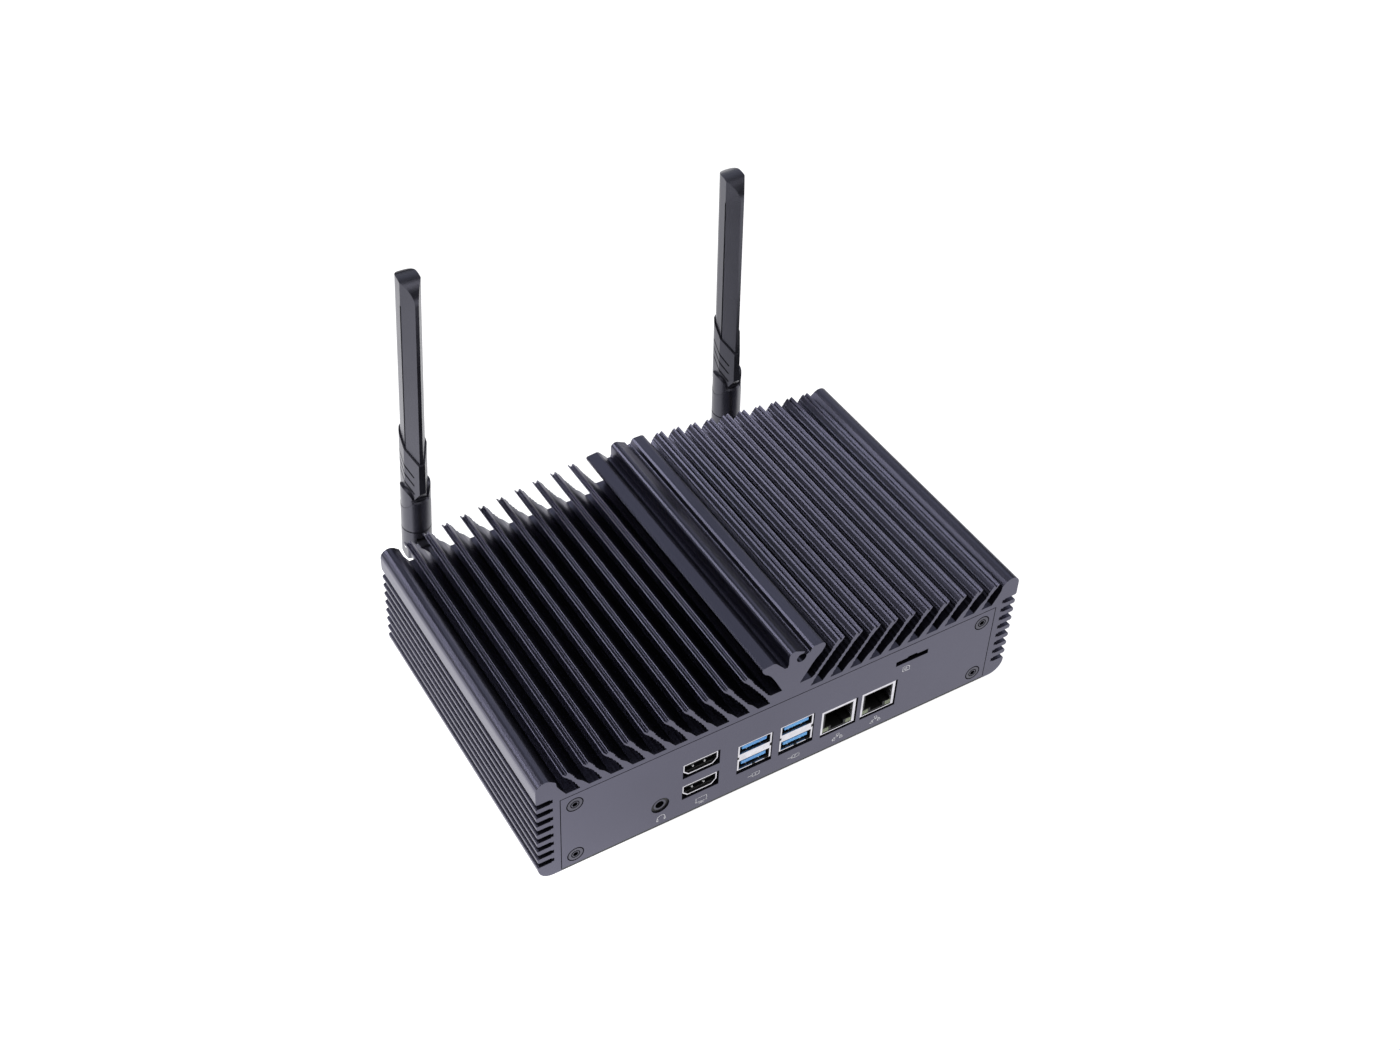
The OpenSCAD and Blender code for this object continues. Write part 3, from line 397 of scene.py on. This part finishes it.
class Solid:
    """A piece made of closed shapes, given in the case's own millimetres."""

    def __init__(self):
        self.bm = bmesh.new()

    def box(self, low, high):
        middle = (Vector(low) + Vector(high)) / 2
        size = Vector(high) - Vector(low)
        bmesh.ops.create_cube(self.bm, size=1, matrix=Matrix.Translation(middle)
                              @ Matrix.Diagonal((*size, 1)))

    def ball(self, at, radius):
        bmesh.ops.create_icosphere(self.bm, subdivisions=3, radius=radius,
                                   matrix=Matrix.Translation(at))

    def ring(self, at, outer, inner, thick):
        """A flat washer that faces the front, its middle at a point."""
        steps = 40
        loops = []
        for radius, y in ((outer, -thick / 2), (outer, thick / 2), (inner, thick / 2),
                          (inner, -thick / 2)):
            loops.append([self.bm.verts.new((
                at[0] + radius * math.cos(2 * math.pi * i / steps), at[1] + y,
                at[2] + radius * math.sin(2 * math.pi * i / steps))) for i in range(steps)])
        for k, loop in enumerate(loops):
            after = loops[(k + 1) % len(loops)]
            for i in range(steps):
                j = (i + 1) % steps
                self.bm.faces.new((loop[i], loop[j], after[j], after[i]))

    def strip(self, path, left, right, thick):
        """A sheet-metal strip bent along a path of (back, up) points, between two sides."""
        rows = []
        for i, (y, z) in enumerate(path):
            ahead = Vector(path[min(i + 1, len(path) - 1)]) - Vector(path[max(i - 1, 0)])
            normal = Vector((-ahead.y, ahead.x)).normalized() * thick
            rows.append([self.bm.verts.new(p) for p in (
                (left, y, z), (right, y, z), (right, y + normal.x, z + normal.y),
                (left, y + normal.x, z + normal.y))])
        for first, second in zip(rows, rows[1:]):
            for i in range(4):
                j = (i + 1) % 4
                self.bm.faces.new((first[i], first[j], second[j], second[i]))
        self.bm.faces.new(rows[0][::-1])
        self.bm.faces.new(rows[-1])

    def piece(self, name, slot, body="case", round_mm=0.05, look=None):
        bmesh.ops.recalc_face_normals(self.bm, faces=self.bm.faces)
        for vert in self.bm.verts:
            vert.co = place(*vert.co)
        mesh = bpy.data.meshes.new(name)
        self.bm.to_mesh(mesh)
        self.bm.free()
        mesh.materials.append(LOOKS[look or slot].material)
        obj = bpy.data.objects.new(name, mesh)
        bpy.context.scene.collection.objects.link(obj)
        if round_mm:
            add_bevel(obj, round_mm)
        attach(obj, body)


def add_bevel(obj, width_mm):
    """Rounds an object's sharp edges so that they catch the light."""
    bevel = obj.modifiers.new("edge", "BEVEL")
    bevel.width = width_mm * MM
    bevel.segments = 2
    bevel.limit_method = "ANGLE"
    bevel.angle_limit = math.radians(35)


def arch(floor, back, rise, reach):
    """A spring finger's path: up from a port's floor to a rounded crest and down again."""
    steps = 8
    return [(back + reach * i / steps, floor + 0.05 + rise * math.sin(math.pi * i / steps))
            for i in range(steps + 1)]


def add_springs():
    """Two contact dimples on the floor of every HDMI and USB port, near white as a painted
    highlight on their tin; black sheets inside their shells as painted shade over the tin;
    and the fronts of the blue tongues."""
    hdmi, shade_sheets = Solid(), Solid()
    for z in HDMI_Z:
        # tin dimples, painted near white as a highlight
        for dx in (-2.55, 2.55):
            hdmi.ball((HDMI_X + dx, 1.7, z - 1.1), 0.5)
        # black sheets inside each HDMI shell: painted shade over the shell's tin inside
        shade_sheets.box((HDMI_X - 4.9, 0.32, z - 2.54), (HDMI_X + 4.9, 9, z - 2.3))
        shade_sheets.box((HDMI_X - 6.3, 0.9, z - 2.3), (HDMI_X + 6.3, 9, z - 1.5))
        shade_sheets.box((HDMI_X - 7.09, 0.32, z - 0.3), (HDMI_X - 6.85, 9, z + 2.54))
        shade_sheets.box((HDMI_X + 6.85, 0.32, z - 0.3), (HDMI_X + 7.09, 9, z + 2.54))
        shade_sheets.box((HDMI_X - 7.0, 0.32, z + 2.3), (HDMI_X + 7.0, 9, z + 2.54))
    hdmi.piece("hdmi_dimples_painted_glint", "tin_shell", round_mm=0, look="painted_glint")
    shade_sheets.piece("hdmi_painted_shade_sheets", "black_plastic")
    for n, x in enumerate(USB_X):
        dimples, shade_sheets, noses = Solid(), Solid(), Solid()
        for floor, height in zip(USB_FLOORS, USB_HEIGHTS):
            top, half = floor + height, USB_SIDE - 0.7
            # tin dimples, painted near white as a highlight
            for dx in (-3.0, 3.0):
                dimples.ball((x + dx, 1.9, floor + 0.55), 0.48)
            # black sheets inside each USB shell: painted shade over the shell's tin inside
            shade_sheets.box((x - half, 0.9, floor), (x + half, 9, floor + 0.15))
            shade_sheets.box((x - half, 0.4, top - 0.15), (x + half, 9, top))
            shade_sheets.box((x - half, 0.4, floor + 0.1), (x - half + 0.15, 9, top - 0.1))
            shade_sheets.box((x + half - 0.15, 0.4, floor + 0.1), (x + half, 9, top - 0.1))
            noses.box((x - 5.55, 0.6, floor + 2.0), (x + 5.55, 1.3, floor + 3.95))
        noses.piece(f"usb_tongue_noses_{n + 1}", "blue_plastic", round_mm=0.2)
        dimples.piece(f"usb_dimples_painted_glint_{n + 1}", "tin_shell", round_mm=0, look="painted_glint")
        shade_sheets.piece(f"usb_painted_shade_sheets_{n + 1}", "black_plastic", round_mm=0)


def add_contacts():
    """Rows of gilt contacts on the tongues."""
    for n, x in enumerate(USB_X):
        usb = Solid()
        for floor in USB_FLOORS:
            for dx in (-3.5, -1.2, 1.2, 3.5):
                usb.box((x + dx - 0.5, MOUTH + 1.6, floor + 2.02),
                        (x + dx + 0.5, MOUTH + 9, floor + 2.2))
        usb.piece(f"usb_contacts_{n + 1}", "gold_contact", round_mm=0.03)
    hdmi = Solid()
    for z in HDMI_Z:
        for i in range(10):
            across = HDMI_X - 4.5 + i
            hdmi.box((across - 0.22, MOUTH + 1.5, z + 1.3), (across + 0.22, MOUTH + 9, z + 1.46))
    hdmi.piece("hdmi_contacts", "gold_contact", round_mm=0.03)
    audio = Solid()
    for side in (-1, 1):
        audio.strip(arch(AUDIO_Z - 1.7, 3.5, 0.5, 3.0), AUDIO_X + side * 0.8 - 0.3,
                    AUDIO_X + side * 0.8 + 0.3, 0.12)
    audio.piece("audio_contacts", "gold_contact", round_mm=0)


def add_port_fronts():
    """Black patches on the USB shells' rims where their notches are, painted shade in the
    openings, and the folded front rims of the network sockets.
    """
    for n, x in enumerate(USB_X):
        notch_shade = Solid()
        front, back = MOUTH - PROUD, MOUTH + 0.3
        # black boxes standing on the rim: painted shade where the notches open
        for left, right, low, high in (
                (-0.7, 0.7, USB_LOW - 0.01, USB_LOW + 0.42),
                (4.9, 6.7, USB_LOW - 0.01, USB_LOW + 0.42),
                (USB_SIDE - 0.72, USB_SIDE + 0.01, 18.1, 19.7),
                (-USB_SIDE - 0.01, -USB_SIDE + 0.72, 18.1, 19.3)):
            notch_shade.box((x + left, front, low), (x + right, back, high))
        notch_shade.piece(f"usb_rim_notch_shade_{n + 1}", "black_plastic", round_mm=0)
    for n, x in enumerate(LAN_X):
        rim = Solid()
        front, back = MOUTH - PROUD, MOUTH + 0.19
        low, high, half = BOARD, BOARD + 13.3, 8.0
        rim.box((x - half, front, low), (x - half + 0.95, back, high))
        rim.box((x + half - 1.25, front, low), (x + half, back, high))
        rim.box((x - half + 0.9, front, high - 1.1), (x + half - 1.2, back, high))
        rim.box((x - half + 0.9, front, low), (x - 3.2, back, low + 0.45))
        rim.box((x + 3.2, front, low), (x + half - 1.2, back, low + 0.45))
        rim.piece(f"lan_rim_{n + 1}", "tin_shell")
        fingers = Solid()
        for z in (BOARD + 5.2, BOARD + 8.2):
            fingers.strip([(MOUTH + 0.1, z), (MOUTH + 0.9, z + 0.9), (MOUTH + 2.6, z + 1.2)],
                          x + half - 2.2, x + half - 1.2, 0.15)
        fingers.piece(f"lan_fingers_{n + 1}", "tin_shell", round_mm=0.02)


def add_screw_seats():
    """The dark gap round every countersunk head, and a flat black ring round its socket: painted
    shade where the socket's bevel is.
    """
    seats, rims = Solid(), Solid()
    for side in (-1, 1):
        for z in SCREW_Z:
            for y in (-0.012, REAR_Y + 0.012):
                seats.ring((side * SCREW_X, y, z), 3.55, 3.1, 0.02)
                # a flat black ring round each socket: painted shade where its bevel is
                rims.ring((side * SCREW_X, y, z), 1.9, 1.5, 0.02)
    seats.piece("screw_seats", "black_screw", round_mm=0, look="gap")
    rims.piece("screw_socket_painted_shade", "black_screw", round_mm=0, look="gap")


def add_seams():
    """The fine dark joint between each end panel and the case."""
    wide, thin = 0.32, 0.012
    for node in ("front_panel", "rear_panel"):
        low, high = (Vector(corner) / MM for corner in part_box(node))
        base = Vector((0, CAD_BOX[0].y / MM, CAD_BOX[0].z / MM + FOOT_H))
        low, high = low - base, high - base
        y = low.y if node == "front_panel" else high.y
        seam = Solid()
        for left, right, bottom, top in (
                (low.x - wide, low.x, low.z, high.z), (high.x, high.x + wide, low.z, high.z),
                (low.x - wide, high.x + wide, high.z, high.z + wide)):
            seam.box((left, y - thin, bottom), (right, y + thin, top))
        seam.piece(f"{node}_seam", "black_screw", round_mm=0, look="gap")


# ---------- printed symbols ----------

def curve_points(x, z, radius, start, end, steps=14):
    return [(x + radius * math.cos(math.radians(start + (end - start) * i / steps)),
             z + radius * math.sin(math.radians(start + (end - start) * i / steps)))
            for i in range(steps + 1)]


def frame_points(left, low, right, high):
    return [(left, low), (right, low), (right, high), (left, high), (left, low)]


SYMBOLS = {
    "headphones": [curve_points(0, 0, 1.35, -5, 185), frame_points(-1.5, -1.1, -1.1, -0.2),
                   frame_points(1.1, -1.1, 1.5, -0.2)],
    "screen": [frame_points(-1.9, -0.7, 1.9, 1.4), [(0, -0.7), (0, -1.3)],
               [(-0.9, -1.35), (0.9, -1.35)]],
    "plug": [frame_points(-0.6, -0.7, 2.0, 0.7), [(0.3, 0.25), (0.8, 0.25)],
             [(0.3, -0.25), (0.8, -0.25)], [(-0.6, 0), (-2.2, 0)]],
    "network": [frame_points(-0.5, 0.5, 0.5, 1.3), frame_points(-1.9, -1.3, -0.9, -0.5),
                frame_points(0.9, -1.3, 1.9, -0.5), [(0, 0.5), (0, 0)],
                [(-1.4, -0.5), (-1.4, 0), (1.4, 0), (1.4, -0.5)]],
    "card": [[(-1.3, -1.0), (1.3, -1.0), (1.3, 0.4), (0.7, 1.0), (-1.3, 1.0), (-1.3, -1.0)],
             frame_points(-0.6, -0.45, 0.3, 0.35)],
    "waves": [curve_points(0, -1.2, 0.25, 0, 360), curve_points(0, -1.2, 1.1, 45, 135),
              curve_points(0, -1.2, 1.9, 45, 135), curve_points(0, -1.2, 2.7, 45, 135)],
    "polarity": [curve_points(0, 0, 1.0, 40, 320), curve_points(0, 0, 0.2, 0, 360),
                 [(0.2, 0), (2.3, 0)], [(-1.0, 0), (-2.3, 0)]],
    "power": [curve_points(0, 0, 1.5, 125, 415), [(0, 0.5), (0, 1.9)]],
}


def add_symbol(kind, name, x, y, z, body="case", rear=False, size=1.25, width_mm=0.26):
    """Inked lines 0.02 mm proud of a face, facing forwards or to the rear."""
    curve = bpy.data.curves.new(name, "CURVE")
    curve.dimensions = "3D"
    curve.bevel_depth = width_mm / 2 * MM
    curve.bevel_resolution = 2
    curve.use_fill_caps = True
    for stroke in SYMBOLS[kind]:
        spline = curve.splines.new("POLY")
        spline.points.add(len(stroke) - 1)
        for point, (across, up) in zip(spline.points, stroke):
            point.co = (across * size * MM, 0, up * size * MM, 1)
    curve.materials.append(LOOKS["ink"].material)
    obj = bpy.data.objects.new(name, curve)
    obj.location = place(x, y, z)
    obj.rotation_euler.z = math.pi if rear else 0
    obj.scale.y = 0.13
    bpy.context.scene.collection.objects.link(obj)
    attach(obj, body)


def add_symbols():
    for kind, x, z in (("headphones", -55.2, 4.4), ("screen", -37.4, 4.4), ("plug", -13.6, 5.0),
                       ("plug", 4.8, 5.0), ("network", 25.6, 5.0), ("network", 43.8, 5.0),
                       ("card", 55.9, 28.4)):
        add_symbol(kind, f"print_{kind}_{round(x + 60)}", x, 0, z)
    for x in ANTENNA_X:
        add_symbol("waves", f"print_waves_{round(x + 90)}", x - 11, REAR_Y, 31, rear=True)
    add_symbol("polarity", "print_polarity", 50, REAR_Y, 24.5, rear=True)
    add_symbol("power", "print_power", 26, REAR_Y + 1.4, 17, "power_button", True, 1.0)


add_camera()
add_light()
add_floor()
finish_nodes()
for name in ("chassis", "front_panel", "rear_panel"):
    add_bevel(frame["nodes"][name], EDGE_BEVEL)
add_springs()
add_contacts()
add_port_fronts()
add_screw_seats()
add_seams()
add_symbols()
